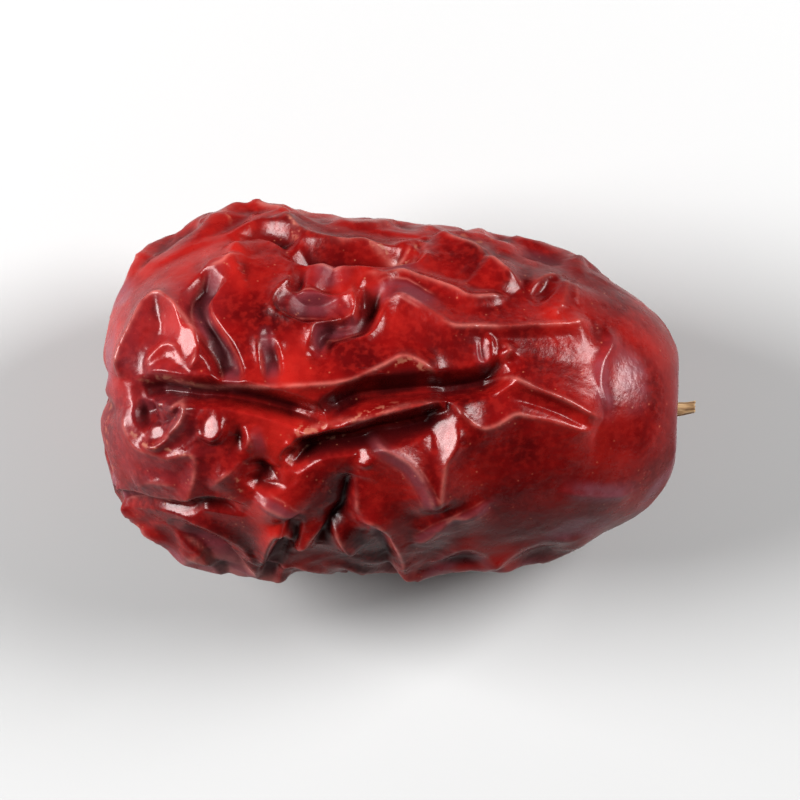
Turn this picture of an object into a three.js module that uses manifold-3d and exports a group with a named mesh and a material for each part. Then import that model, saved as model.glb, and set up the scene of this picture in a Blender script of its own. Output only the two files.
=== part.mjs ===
// A dried jujube lying on its side: one wrinkled fruit and the stub of its stalk.
// Millimetres, +Z up. The long axis runs along X, with the stem end at +X and the blossom end at -X.
// The origin is on the resting surface, below the middle of the whole object.
import * as THREE from "three";
import { mergeVertices } from "three/addons/utils/BufferGeometryUtils.js";
import Module from "manifold-3d";

// Driving dimensions of the fruit
const LENGTH = 48.0;
const WIDTH = 26.2;
const HEIGHT = 25.0;
const TAPER = 0.05; // half-width lost for each millimetre towards the stem end
const STEM_SQUARENESS = 2.85; // 2 is an ellipse, and more is blunter
const BLOSSOM_SQUARENESS = 2.85;
const SKIN_DETAIL = 22; // cuts along each edge of the icosahedron that the skin starts from

// The pits at the two ends
const STEM_PIT = { depth: 1.7, radius: 3.1 };
const BLOSSOM_PIT = { depth: 1.3, radius: 2.4 };

// The stub of the stalk, in a plain hole at the bottom of the stem pit
const STALK_RADIUS = 0.65;
const STALK_TIP_RADIUS = 0.5;
const STALK_LENGTH = 5.0;
const STALK_ROOT = 2.4; // length below the floor of the pit
const STALK_GAP = 0.3;
const STALK_BEND = 0.35; // how far the tip leans to one side
const STALK_SIDES = 12;

// The flat spot that it rests on: it has four corners, and the skin round it is drawn in
const FLAT_SPOT = { x: -2, halfLength: 6.6, halfWidth: 3.9, blend: 6, drawnIn: 0.7 };

// How the folds of the skin stand
const FOLD_ROUND = 0.5; // radius that a crest or a crease is rounded to
const CREST_REACH = 1.1; // distance over which a low crest falls away to a third
const CREST_SPREAD = 1.2; // and what is added to it for each unit of a crest's level
const CREASE_REACH = 1.0;
const NET_REACH = 1.2;
const CREST_HEIGHT = 2.3; // the levels of the crests below are multiplied by this
const CREASE_DEPTH = 1.25; // and those of the creases by this
const FOLD_TAPER = 1.6; // length over which a fold runs out at its ends
const FOLD_STEP = 0.5; // distance between the points that a fold's route is measured at
const FOLD_BLEND = 4; // how hard folds that meet are kept from adding up
const SOFTENING = 0.4; // how far each point of the skin moves towards its neighbours

// The seen side is turned this far from straight up, towards -Y
const SEEN_TURN = THREE.MathUtils.degToRad(8);

// The folds of the seen side: level above (+) or below (-) the plain skin, half the width of the flat
// floor that a valley has, and a route of points
// [along the axis from the middle towards the stem, across the seen side].
const SEEN_FOLDS = [
  // the long crease, the two lips beside it, and the second crease below
  [-1.7, 0, [[-20.0, -0.4], [-18.6, 0.1], [-14.0, -0.1], [-11.7, -0.4], [-8.8, -1.0], [-5.0, -1.8]]],
  [-1.7, 0, [[-5.3, -1.6], [-3.8, -0.6], [-2.3, 0.2], [0.5, 0.6], [4.4, 1.1], [6.6, 1.5], [9.2, 2.9]]],
  [0.5, 0, [[-19.8, 0.6], [-18.3, 0.9], [-15.1, 0.4], [-10.0, 0.5], [-5.1, 0.9], [-2.2, 1.8], [0.7, 3.2]]],
  [0.5, 0, [[0.7, 3.2], [2.0, 2.9], [3.8, 1.7]]],
  [0.6, 0, [[-7.5, -3.1], [-5.6, -2.4], [-3.8, -1.8], [-1.7, -1.5], [1.7, -0.4], [4.5, 0.1]]],
  [-1.5, 0, [[-8.1, -5.7], [-6.6, -4.4], [-4.9, -3.7], [-1.2, -2.7], [2.0, -1.9], [4.2, -0.6]]],
  // the arch at the blossom end, with a smaller one inside it
  [0.6, 0, [[-21.6, 0.6], [-20.2, 5.1], [-18.7, 7.0], [-16.6, 5.5], [-15.6, 2.8], [-16.0, 1.2]]],
  [0.4, 0, [[-19.9, 1.3], [-18.1, 3.4], [-17.1, 3.2], [-16.4, 1.5]]],
  [-0.3, 0, [[-19.3, 3.1], [-18.8, 4.7], [-18.2, 5.2]]],
  // the hook and the dimple below the arch
  [0.6, 0, [[-18.0, -1.9], [-16.7, -1.0], [-16.2, -1.5], [-17.0, -3.1], [-18.2, -4.4], [-19.9, -4.2]]],
  [-1.0, 0.4, [[-19.8, -0.7], [-19.6, -2.0], [-18.9, -2.9]]],
  [0.4, 0, [[-15.1, -3.8], [-14.4, -2.4], [-13.7, -3.6]]],
  // the winding valley beside the arch
  [-0.8, 0.6, [[-14.3, 9.2], [-15.9, 7.0], [-15.7, 5.6], [-13.7, 3.0], [-12.8, 0.7]]],
  [0.4, 0, [[-14.0, 9.9], [-14.0, 8.3], [-15.3, 6.8], [-15.1, 5.9], [-12.9, 3.4], [-12.3, 0.7]]],
  // the folds along the upper edge
  [0.55, 0, [[-16.4, 12.0], [-14.4, 13.2], [-12.4, 13.9], [-10.4, 13.9], [-8.4, 13.2]]],
  [0.5, 0, [[-15.8, 9.2], [-13.9, 9.8], [-12.0, 10.5]]],
  [0.5, 0, [[-14.0, 11.3], [-12.9, 11.1], [-12.0, 10.6]]],
  [-0.8, 0.4, [[-12.8, 12.1], [-11.3, 12.5], [-9.5, 12.3], [-8.4, 11.7]]],
  [-1.5, 0.5, [[-8.4, 11.5], [-5.1, 10.9], [-1.2, 10.8], [1.3, 11.6]]],
  [0.5, 0, [[-9.6, 13.1], [-7.3, 12.2], [-4.2, 11.7], [-0.4, 11.3], [1.6, 12.4]]],
  [0.4, 0, [[-7.4, 10.2], [-5.4, 9.9], [-3.2, 9.9], [0.7, 10.5], [1.8, 11.7]]],
  // the small sunken field and the zigzag valley in the middle of the upper half
  [0.4, 0, [[-7.9, 10.6], [-8.3, 9.2], [-9.6, 8.0], [-9.6, 6.7], [-6.7, 5.3]]],
  [0.3, 0, [[-7.6, 10.5], [-7.3, 8.5]]],
  [-0.5, 0.3, [[-7.7, 10.3], [-8.1, 8.6], [-8.7, 8.2]]],
  [-0.5, 1.0, [[-8.6, 7.3], [-7.0, 6.9], [-4.6, 7.0]]],
  [-0.5, 1.2, [[-7.0, 9.2], [-5.8, 8.4], [-4.5, 8.3]]],
  [0.4, 0, [[-3.2, 9.4], [-3.4, 7.7], [-3.6, 5.8], [-5.2, 5.9], [-6.6, 5.3], [-6.0, 3.0]]],
  [-0.7, 0.6, [[-1.9, 8.8], [-2.1, 7.3], [-2.7, 5.8], [-5.3, 4.8], [-5.9, 3.3]]],
  [0.4, 0, [[-6.0, 3.0], [-5.3, 4.2], [-4.8, 4.8], [-2.3, 4.9], [-1.3, 6.4], [-0.9, 7.6]]],
  [0.2, 0, [[-10.7, 5.5], [-10.6, 3.9], [-9.8, 0.8]]],
  [0.2, 0, [[-9.8, 4.9], [-9.2, 3.7], [-8.8, 2.9]]],
  [-0.4, 0.5, [[-10.1, 4.3], [-9.8, 2.9], [-9.4, 1.2]]],
  // the two long crests that run on to the stem end, and the pillow between them
  [0.4, 0, [[-3.2, 9.4], [0.4, 9.7], [3.4, 8.9], [5.8, 8.0], [9.1, 8.4]]],
  [0.5, 0, [[-0.9, 7.9], [2.4, 6.8], [4.7, 5.6], [9.2, 5.8], [13.9, 6.2], [15.6, 6.8]]],
  [-0.3, 0, [[6.3, 5.0], [10.8, 5.2], [15.0, 5.5]]],
  [0.4, 0, [[2.0, 12.3], [2.2, 11.4], [1.8, 10.3]]],
  [0.6, 0, [[2.4, 12.4], [4.2, 12.0], [5.8, 11.6], [7.4, 10.8]]],
  [0.6, 0, [[6.3, 11.1], [8.7, 9.8], [10.0, 9.1]]],
  [0.4, 0, [[13.7, 10.0], [13.1, 7.5], [11.9, 6.3]]],
  [0.3, 0, [[14.4, 9.9], [14.4, 8.5], [15.0, 7.4]]],
  [0.3, 0, [[10.5, 8.8], [12.2, 10.0], [13.7, 10.2]]],
  [-0.4, 0.3, [[11.2, 8.2], [11.8, 8.8], [12.5, 9.5]]],
  // the flat field before the smooth stem end, with the sharp corner that closes it
  [0.4, 0, [[6.5, 4.9], [7.0, 3.8], [7.4, 2.6]]],
  [0.4, 0, [[8.3, 5.0], [9.2, 4.2], [8.4, 2.9]]],
  [0.6, 0, [[7.5, 2.1], [9.4, 1.9], [11.6, 1.1], [16.9, -0.9]]],
  [-0.2, 0.3, [[9.9, 0.7], [12.8, -0.1], [15.3, -1.1]]],
  [0.5, 0, [[4.5, 0.0], [7.2, -1.9], [9.8, -0.8], [13.0, -1.2], [16.4, -1.6]]],
  [0.2, 0, [[16.9, -1.0], [17.1, 0.1], [16.6, 2.8], [17.4, 5.1], [17.0, 6.5]]],
  [-0.45, 1.2, [[9.8, 3.7], [12.4, 3.4], [14.6, 3.0]]],
  [-0.45, 0.7, [[15.4, 0.9], [15.1, 2.8], [15.5, 5.0]]],
  // the lower half: dark valleys between an arc, a broad facet and a notch
  [0.6, 0, [[-2.0, -3.2], [0.7, -4.2], [2.9, -6.1], [4.2, -8.7]]],
  [0.6, 0, [[4.8, -1.4], [5.1, -2.9], [4.5, -4.8], [4.2, -8.6]]],
  [-1.1, 0, [[-3.1, -6.2], [-3.7, -9.4], [-5.8, -11.8]]],
  [0.3, 0, [[-2.6, -6.4], [-2.5, -9.8]]],
  [-0.8, 0, [[-0.9, -10.1], [-0.2, -11.4], [0.8, -14.1]]],
  [0.5, 0, [[-2.5, -9.8], [-1.2, -9.5], [-0.1, -10.1], [1.9, -13.4]]],
  [0.4, 0, [[1.8, -11.2], [4.3, -9.8], [6.4, -8.8], [8.1, -7.9]]],
  [0.25, 0, [[1.9, -13.2], [4.4, -12.3], [6.4, -11.5], [10.5, -12.2]]],
  [-0.9, 0.6, [[-11.1, -6.3], [-9.8, -6.9], [-8.2, -6.6]]],
  [0.6, 0, [[-10.7, -8.3], [-9.3, -8.6], [-7.2, -9.7]]],
  [-0.6, 0.4, [[-7.2, -9.9], [-7.6, -11.1], [-9.5, -13.9]]],
  [0.4, 0, [[-14.2, -7.7], [-12.3, -6.0], [-11.7, -5.5]]],
  // the small tents and pleats in the lower left
  [0.4, 0, [[-14.9, -1.6], [-14.2, -2.6], [-13.4, -3.4]]],
  [0.4, 0, [[-15.4, -3.8], [-14.2, -2.9], [-12.9, -3.0]]],
  [-0.5, 0, [[-12.4, -2.6], [-12.0, -3.6], [-12.5, -4.6]]],
  [0.3, 0, [[-11.6, -2.6], [-11.2, -3.8], [-11.6, -4.8]]],
  [-0.9, 0, [[-11.4, -5.9], [-9.9, -6.1], [-8.4, -7.4]]],
  [0.35, 0, [[-8.3, -3.6], [-7.4, -4.6], [-7.6, -5.6]]],
  [0.4, 0, [[-7.2, -12.0], [-8.6, -10.7], [-9.4, -11.6], [-9.8, -12.9]]],
  [0.5, 0, [[-7.4, -12.2], [-5.6, -10.9], [-4.6, -10.2], [-3.4, -11.4], [-2.2, -12.4]]],
  // the smooth band at the blossom end
  [0.35, 0, [[-21.3, -1.6], [-20.3, -4.2], [-17.5, -5.3], [-15.4, -5.1], [-15.3, -6.3], [-16.1, -9.3]]],
  [0.3, 0, [[-20.3, -7.8], [-18.9, -7.3], [-16.2, -7.9]]],
  [-0.6, 0.35, [[-22.1, -8.6], [-18.5, -9.3], [-14.9, -9.0], [-11.7, -9.4]]],
  [0.5, 0, [[-16.8, -11.5], [-14.6, -10.8], [-12.4, -12.4], [-10.1, -13.8]]],
  [0.4, 0, [[-17.2, -12.8], [-13.4, -13.7], [-10.5, -15.3]]],
  [-0.5, 0.5, [[-16.2, -12.0], [-13.9, -12.5], [-11.7, -13.7]]],
  [0.4, 0, [[-13.0, -14.2], [-11.0, -14.6], [-9.0, -14.6], [-7.2, -13.8]]],
  // the faint edges on the smooth stem end
  [0.1, 0, [[23.0, -2.4], [22.3, -6.2], [19.3, -9.3], [17.5, -10.5]]],
  [0.15, 0, [[13.7, -6.8], [16.0, -7.0], [19.9, -6.6]]],
];

// The net of crests round sunken fields that covers the rest of the skin
const NET_CELLS = 170;
const NET_STRETCH = 0.6; // under 1 makes the fields longer along the axis than across it
const NET_JITTER = 3.2; // how far a field's middle strays from its even place
const NET_WANDER = 0.8; // how far the crests of the net wind
const NET_CREST = 1.3;
const NET_FLOOR = 0.6;
const SMOOTH_DOME_START = 13; // from here to the stem end the net fades away
const SMOOTH_DOME_LENGTH = 6;
const SMOOTH_BLOSSOM_LENGTH = 4; // and over this length at the blossom end
const UNDERSIDE_CALM = 0.8; // share of the net that the underside has lost by lying on it

const PUCKERS = 9; // creases that run into the blossom pit
const GOLDEN_ANGLE = Math.PI * (3 - Math.sqrt(5));

const wasm = await Module();
wasm.setup();

// A number from 0 to 1 that looks random but is always the same for the same index
function scatter(index) {
  const wide = Math.sin(index * 12.9898 + 4.1414) * 43758.5453;
  return wide - Math.floor(wide);
}

function squarenessAt(x) {
  return x > 0 ? STEM_SQUARENESS : BLOSSOM_SQUARENESS;
}

function halfWidthAt(x) {
  return WIDTH / 2 - TAPER * x;
}

// The plain fruit without folds, in the direction of a unit vector from its middle
function plainForm(direction) {
  const power = squarenessAt(direction.x);
  const across = Math.hypot(direction.y, direction.z);
  const reach = (Math.abs(direction.x) ** power + across ** power) ** (-1 / power);
  const x = direction.x * reach * (LENGTH / 2);
  const girth = reach * halfWidthAt(x);
  const point = new THREE.Vector3(x, direction.y * girth, direction.z * girth * (HEIGHT / WIDTH));
  const pit = direction.x > 0 ? STEM_PIT : BLOSSOM_PIT;
  const fromAxis = Math.hypot(point.y, point.z) / pit.radius;
  point.x -= Math.sign(direction.x) * pit.depth * Math.exp(-fromAxis * fromAxis);
  return point;
}

// The point of the plain fruit at a place of its seen side
function seenPoint([along, across]) {
  const power = squarenessAt(along);
  const share = Math.max(0, 1 - Math.abs((2 * along) / LENGTH) ** power) ** (1 / power);
  const radius = Math.max(0.5, halfWidthAt(along) * share);
  const turn = Math.asin(THREE.MathUtils.clamp(across / radius, -1, 1)) - SEEN_TURN;
  return new THREE.Vector3(along, radius * Math.sin(turn), radius * Math.cos(turn) * (HEIGHT / WIDTH));
}

// A fold as a level and closely spaced points of its smooth route
function foldAlong(level, floor, corners) {
  const route = new THREE.CatmullRomCurve3(corners, false, "centripetal");
  const steps = Math.max(2, Math.ceil(route.getLength() / FOLD_STEP));
  return { level, floor, points: route.getSpacedPoints(steps) };
}

// The creases that run into the blossom pit from all round it
function puckerFolds() {
  return Array.from({ length: PUCKERS }, (_, index) => {
    const angle = ((index + 0.5 * scatter(index)) / PUCKERS) * 2 * Math.PI;
    const outer = 5 + 2.5 * scatter(index + PUCKERS);
    const corners = [1.2, 0.55 * outer, outer].map((radius) => {
      const across = radius * Math.sin(angle);
      const up = radius * Math.cos(angle);
      return plainForm(new THREE.Vector3(-16 + 0.5 * radius, across, up).normalize());
    });
    return foldAlong(-0.7, 0, corners);
  });
}

// The middles of the sunken fields, spread evenly over the fruit and then strayed a little
function netMiddles() {
  return Array.from({ length: NET_CELLS }, (_, index) => {
    const along = 1 - (2 * (index + 0.5)) / NET_CELLS;
    const round = Math.sqrt(1 - along * along);
    const angle = index * GOLDEN_ANGLE;
    const middle = plainForm(new THREE.Vector3(along, round * Math.cos(angle), round * Math.sin(angle)));
    const stray = new THREE.Vector3(scatter(3 * index), scatter(3 * index + 1), scatter(3 * index + 2));
    middle.addScaledVector(stray.subScalar(0.5), 2 * NET_JITTER);
    return { middle, floor: NET_FLOOR * (0.4 + 1.2 * scatter(index + NET_CELLS)) };
  });
}

// How much the skin belongs to the underside that is drawn in round the flat spot
function undersideShare(point) {
  return THREE.MathUtils.smoothstep(-point.z / (HEIGHT / 2), 0.7, 0.95);
}

// How much of the net shows at a point: none on the seen side, the smooth stem end or the flat spot
function netShare(point) {
  const turned = point.clone().applyAxisAngle(new THREE.Vector3(1, 0, 0), -SEEN_TURN);
  const hidden = THREE.MathUtils.smoothstep(-turned.z / (HEIGHT / 2), -0.5, -0.2);
  const dome = THREE.MathUtils.smoothstep((point.x - SMOOTH_DOME_START) / SMOOTH_DOME_LENGTH, 0, 1);
  const end = THREE.MathUtils.smoothstep(point.x, -LENGTH / 2, -LENGTH / 2 + SMOOTH_BLOSSOM_LENGTH);
  return hidden * (1 - dome) * end * (1 - UNDERSIDE_CALM * undersideShare(point));
}

// The height of a fold's side at a distance from its line, as a share of its full height
function foldSide(distance, reach) {
  return Math.exp((FOLD_ROUND - Math.hypot(distance, FOLD_ROUND)) / reach);
}

// The share of one fold's height at a point: it falls away to the sides and runs out at the fold's ends
function shareOfFold(point, { level, floor, points }) {
  let nearest = Infinity;
  let at = 0;
  points.forEach((place, index) => {
    const distance = place.distanceToSquared(point);
    if (distance < nearest) {
      nearest = distance;
      at = index;
    }
  });
  const toEnd = Math.min(at, points.length - 1 - at) * FOLD_STEP;
  const taper = Math.min(1, 0.3 + (0.7 * toEnd) / FOLD_TAPER);
  const reach = level > 0 ? CREST_REACH + CREST_SPREAD * level : CREASE_REACH;
  return taper * foldSide(Math.max(0, Math.sqrt(nearest) - floor), reach);
}

// A point moved a little to and fro, so that the crests of the net wind
function wandered(point) {
  return new THREE.Vector3(
    point.x + 1.3 * NET_WANDER * Math.sin(0.9 * point.y + 1.3 * point.z),
    point.y + NET_WANDER * Math.sin(0.8 * point.x + 0.6 * point.z + 1),
    point.z + NET_WANDER * Math.sin(0.7 * point.x - 0.9 * point.y + 2),
  );
}

// The height of the net at a point: crests where two fields meet, and a floor in each field
function netHeight(point, fields) {
  let first = Infinity;
  let second = Infinity;
  let nearest = fields[0];
  const place = wandered(point);
  for (const field of fields) {
    const along = (place.x - field.middle.x) * NET_STRETCH;
    const distance = Math.hypot(along, place.y - field.middle.y, place.z - field.middle.z);
    if (distance < first) {
      second = first;
      first = distance;
      nearest = field;
    } else if (distance < second) {
      second = distance;
    }
  }
  const crest = foldSide((second - first) / 2, NET_REACH);
  return netShare(point) * (NET_CREST * crest - nearest.floor * (1 - crest));
}

// How far the folded skin stands above the plain fruit at a point
function relief(point, folds, fields) {
  let crest = 0;
  let crease = 0;
  for (const fold of folds) {
    const height = Math.abs(fold.level) * shareOfFold(point, fold);
    if (fold.level > 0) {
      crest += (CREST_HEIGHT * height) ** FOLD_BLEND;
    } else {
      crease += (CREASE_DEPTH * height) ** FOLD_BLEND;
    }
  }
  return crest ** (1 / FOLD_BLEND) - crease ** (1 / FOLD_BLEND) + netHeight(point, fields);
}

// The four corners of the flat spot: the points of the underside nearest to their even places
function flatCorners(places) {
  const sides = [[-1, -1], [1, -1], [1, 1], [-1, 1]];
  return sides.map(([along, across]) => {
    const x = FLAT_SPOT.x + along * FLAT_SPOT.halfLength;
    const y = across * FLAT_SPOT.halfWidth;
    let nearest = Infinity;
    let corner = null;
    for (let index = 0; index < places.count; index++) {
      const distance = Math.hypot(places.getX(index) - x, places.getY(index) - y);
      if (places.getZ(index) < 0 && distance < nearest) {
        nearest = distance;
        corner = new THREE.Vector2(places.getX(index), places.getY(index));
      }
    }
    return corner;
  });
}

// How much a place of the underside is pressed into the flat spot between its corners
function flatShare(place, corners) {
  let outside = 0;
  corners.forEach((corner, index) => {
    const edge = corners[(index + 1) % corners.length].clone().sub(corner).normalize();
    outside = Math.max(outside, place.clone().sub(corner).cross(edge));
  });
  return 1 - Math.min(1, outside / FLAT_SPOT.blend) ** 1.25;
}

// Presses the flat spot into the underside
function pressFlat(places) {
  const corners = flatCorners(places);
  for (let index = 0; index < places.count; index++) {
    const place = new THREE.Vector2(places.getX(index), places.getY(index));
    const share = places.getZ(index) < 0 ? flatShare(place, corners) : 0;
    const z = THREE.MathUtils.lerp(places.getZ(index), -HEIGHT / 2, share);
    places.setZ(index, Math.max(-HEIGHT / 2, z));
  }
}

// Moves each point part of the way to the middle of its neighbours
function softenEdges(geometry) {
  const places = geometry.getAttribute("position");
  const sums = Array.from({ length: places.count }, () => new THREE.Vector3());
  const counts = new Array(places.count).fill(0);
  const corners = geometry.index.array;
  corners.forEach((corner, at) => {
    const next = corners[at % 3 === 2 ? at - 2 : at + 1];
    sums[corner].add(new THREE.Vector3().fromBufferAttribute(places, next));
    counts[corner] += 1;
  });
  sums.forEach((sum, index) => {
    const point = new THREE.Vector3().fromBufferAttribute(places, index);
    point.lerp(sum.divideScalar(counts[index]), SOFTENING);
    places.setXYZ(index, ...point.toArray());
  });
}

// The wrinkled fruit: an even net of triangles, laid on the plain form and then folded
function wrinkledSkin() {
  const ball = new THREE.IcosahedronGeometry(1, SKIN_DETAIL);
  ball.deleteAttribute("normal");
  ball.deleteAttribute("uv");
  const skin = mergeVertices(ball);
  const places = skin.getAttribute("position");
  const plain = [];
  for (let index = 0; index < places.count; index++) {
    plain.push(plainForm(new THREE.Vector3().fromBufferAttribute(places, index).normalize()));
    places.setXYZ(index, ...plain[index].toArray());
  }
  skin.computeVertexNormals();
  const outward = skin.getAttribute("normal");
  const folds = SEEN_FOLDS.map(([level, floor, route]) => foldAlong(level, floor, route.map(seenPoint)));
  folds.push(...puckerFolds());
  const fields = netMiddles();
  plain.forEach((point, index) => {
    const normal = new THREE.Vector3().fromBufferAttribute(outward, index);
    const height = relief(point, folds, fields) - FLAT_SPOT.drawnIn * undersideShare(point);
    const folded = point.clone().addScaledVector(normal, height);
    places.setXYZ(index, ...folded.toArray());
  });
  skin.deleteAttribute("normal");
  softenEdges(skin);
  pressFlat(places);
  return skin;
}

function solidFrom(geometry) {
  const bare = geometry.clone();
  bare.deleteAttribute("normal");
  bare.deleteAttribute("uv");
  const merged = mergeVertices(bare);
  return new wasm.Manifold(
    new wasm.Mesh({
      numProp: 3,
      vertProperties: new Float32Array(merged.getAttribute("position").array),
      triVerts: new Uint32Array(merged.index.array),
    }),
  );
}

function geometryFrom(solid) {
  const mesh = solid.getMesh();
  const geometry = new THREE.BufferGeometry();
  geometry.setAttribute("position", new THREE.BufferAttribute(mesh.vertProperties, 3));
  geometry.setIndex(new THREE.BufferAttribute(mesh.triVerts, 1));
  return geometry;
}

const stalkFloor = LENGTH / 2 - STEM_PIT.depth;

// The hole that the stalk stands in
function stalkHole() {
  const depth = STALK_ROOT + STALK_GAP;
  const overshoot = 2;
  const hole = new THREE.CylinderGeometry(
    STALK_RADIUS + STALK_GAP,
    STALK_RADIUS + STALK_GAP,
    depth + overshoot,
    STALK_SIDES,
  );
  hole.rotateZ(-Math.PI / 2);
  hole.translate(stalkFloor - depth + (depth + overshoot) / 2, 0, 0);
  return hole;
}

// The stalk: a tapering stub that leans a little past the floor of the pit
function stalkStub() {
  const rings = 6;
  const stub = new THREE.CylinderGeometry(STALK_TIP_RADIUS, STALK_RADIUS, STALK_LENGTH, STALK_SIDES, rings);
  stub.rotateZ(-Math.PI / 2);
  stub.translate(stalkFloor - STALK_ROOT + STALK_LENGTH / 2, 0, 0);
  const places = stub.getAttribute("position");
  for (let index = 0; index < places.count; index++) {
    const past = Math.max(0, places.getX(index) - stalkFloor) / (STALK_LENGTH - STALK_ROOT);
    places.setY(index, places.getY(index) + STALK_BEND * past * past);
  }
  stub.deleteAttribute("normal");
  stub.deleteAttribute("uv");
  return mergeVertices(stub);
}

const skinFinish = new THREE.MeshStandardMaterial({ color: 0x7d0f10, roughness: 0.3, metalness: 0 });
const stalkFinish = new THREE.MeshStandardMaterial({ color: 0xa5814f, roughness: 0.85, metalness: 0 });

const drilledSkin = solidFrom(wrinkledSkin()).subtract(solidFrom(stalkHole()));
const fruit = new THREE.Mesh(geometryFrom(drilledSkin), skinFinish);
fruit.name = "fruit";

const stalk = new THREE.Mesh(stalkStub(), stalkFinish);
stalk.name = "stem_stub";

const jujube = new THREE.Group();
jujube.add(fruit, stalk);
const box = new THREE.Box3().setFromObject(jujube);
const middle = box.getCenter(new THREE.Vector3());
jujube.position.set(-middle.x, -middle.y, -box.min.z);

export default jujube;
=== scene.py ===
# %% [markdown]
# # A dried jujube
# The object is one wrinkled fruit, lying on its side, and the dry stub of its stalk.
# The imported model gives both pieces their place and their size. This lesson makes each of them
# again with a fine surface, and gives it the finish of the real thing.

# %% Load the frame
import math

import bmesh
import bpy
import numpy as np
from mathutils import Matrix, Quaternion, Vector
from mathutils.kdtree import KDTree


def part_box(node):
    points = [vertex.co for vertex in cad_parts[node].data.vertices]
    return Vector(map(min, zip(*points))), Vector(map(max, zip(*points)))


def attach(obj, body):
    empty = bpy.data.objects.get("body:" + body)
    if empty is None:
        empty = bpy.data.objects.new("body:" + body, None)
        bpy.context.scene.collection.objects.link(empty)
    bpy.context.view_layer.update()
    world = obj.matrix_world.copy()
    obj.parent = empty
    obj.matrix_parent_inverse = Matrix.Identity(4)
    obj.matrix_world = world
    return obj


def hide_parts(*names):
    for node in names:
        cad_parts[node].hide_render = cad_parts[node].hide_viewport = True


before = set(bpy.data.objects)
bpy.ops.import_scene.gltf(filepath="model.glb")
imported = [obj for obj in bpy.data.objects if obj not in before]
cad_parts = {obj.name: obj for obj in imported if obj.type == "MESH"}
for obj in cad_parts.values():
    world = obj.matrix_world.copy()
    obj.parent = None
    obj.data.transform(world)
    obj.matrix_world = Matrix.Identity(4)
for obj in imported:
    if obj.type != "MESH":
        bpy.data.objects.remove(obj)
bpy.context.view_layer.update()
MM = 0.001

# %% [markdown]
# ## The plain fruit
# Before it dried, the fruit was a smooth barrel with a pit in each end, a little thicker towards the
# blossom end. A spun profile would give that form too, but with long, thin faces that meet in two
# poles. A sphere of even triangles suits it better, because the folds run in every direction. Each
# point moves out along its own direction until it lies on the barrel. The triangles are drawn together
# on the side that shows, which has the finest folds.

# %% Sizes of the fruit
LENGTH, WIDTH, HEIGHT = 48.0, 26.2, 25.0
TAPER = 0.05
STEM_SQUARENESS, BLOSSOM_SQUARENESS = 2.85, 2.85
STEM_PIT_DEPTH, STEM_PIT_RADIUS = 1.7, 3.1
BLOSSOM_PIT_DEPTH, BLOSSOM_PIT_RADIUS = 1.3, 2.4
STALK_ROOT, STALK_RADIUS = 2.4, 0.65
STALK_FLOOR = LENGTH / 2 - STEM_PIT_DEPTH

stub_low, stub_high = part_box("stem_stub")
PLACE = np.array([
    stub_low.x / MM - (STALK_FLOOR - STALK_ROOT),
    stub_low.y / MM + STALK_RADIUS,
    HEIGHT / 2,
])
print("the middle of the fruit stands at", PLACE.round(2), "mm")


# %% The plain form
def unit(vectors):
    return vectors / np.linalg.norm(vectors, axis=-1, keepdims=True)


def plain_form(directions):
    """The place on the smooth fruit for each direction from its middle."""
    stemward = directions[:, 0] > 0
    power = np.where(stemward, STEM_SQUARENESS, BLOSSOM_SQUARENESS)
    across = np.hypot(directions[:, 1], directions[:, 2])
    reach = (np.abs(directions[:, 0]) ** power + across ** power) ** (-1 / power)
    x = directions[:, 0] * reach * LENGTH / 2
    girth = reach * (WIDTH / 2 - TAPER * x)
    y = directions[:, 1] * girth
    z = directions[:, 2] * girth * HEIGHT / WIDTH
    depth = np.where(stemward, STEM_PIT_DEPTH, BLOSSOM_PIT_DEPTH)
    radius = np.where(stemward, STEM_PIT_RADIUS, BLOSSOM_PIT_RADIUS)
    x = x - np.sign(directions[:, 0]) * depth * np.exp(-((np.hypot(y, z) / radius) ** 2))
    return np.stack([x, y, z], axis=1)


def gathered(directions, towards, factor):
    """Even triangles, drawn together on one side of the ball and spread out on the other."""
    along = directions @ towards
    sideways = (directions - np.outer(along, towards)) / (1 + along)[:, None] / factor
    square = (sideways**2).sum(1)
    return (2 * sideways + np.outer(1 - square, towards)) / (1 + square)[:, None]


SEEN_TURN = math.radians(8)
SEEN_WAY = np.array([0, -math.sin(SEEN_TURN), math.cos(SEEN_TURN)])
GATHERING = 1.5

ball = bmesh.new()
bmesh.ops.create_icosphere(ball, subdivisions=7, radius=1)
directions = gathered(unit(np.array([v.co for v in ball.verts])), SEEN_WAY, GATHERING)
for vert, direction in zip(ball.verts, directions):
    vert.co = direction
print(len(directions), "points on the plain fruit")

# %% [markdown]
# ## The folds that show
# As the flesh dries it shrinks away under the skin. The skin keeps its area, so it buckles: some
# lines stay high as sharp crests, others sink into creases, and the skin between them hangs smooth.
# A noise would roughen the skin, but it has no lines that run from one place to another. So each fold
# is a route on the seen side, in millimetres along the fruit and across it. The first number is its
# level, above zero for a crest and below for a crease. The second is how far a crest's slopes reach, or
# half the width of a valley's flat floor. A zero there gives a crest the usual slopes, and a crease no
# floor.

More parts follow.
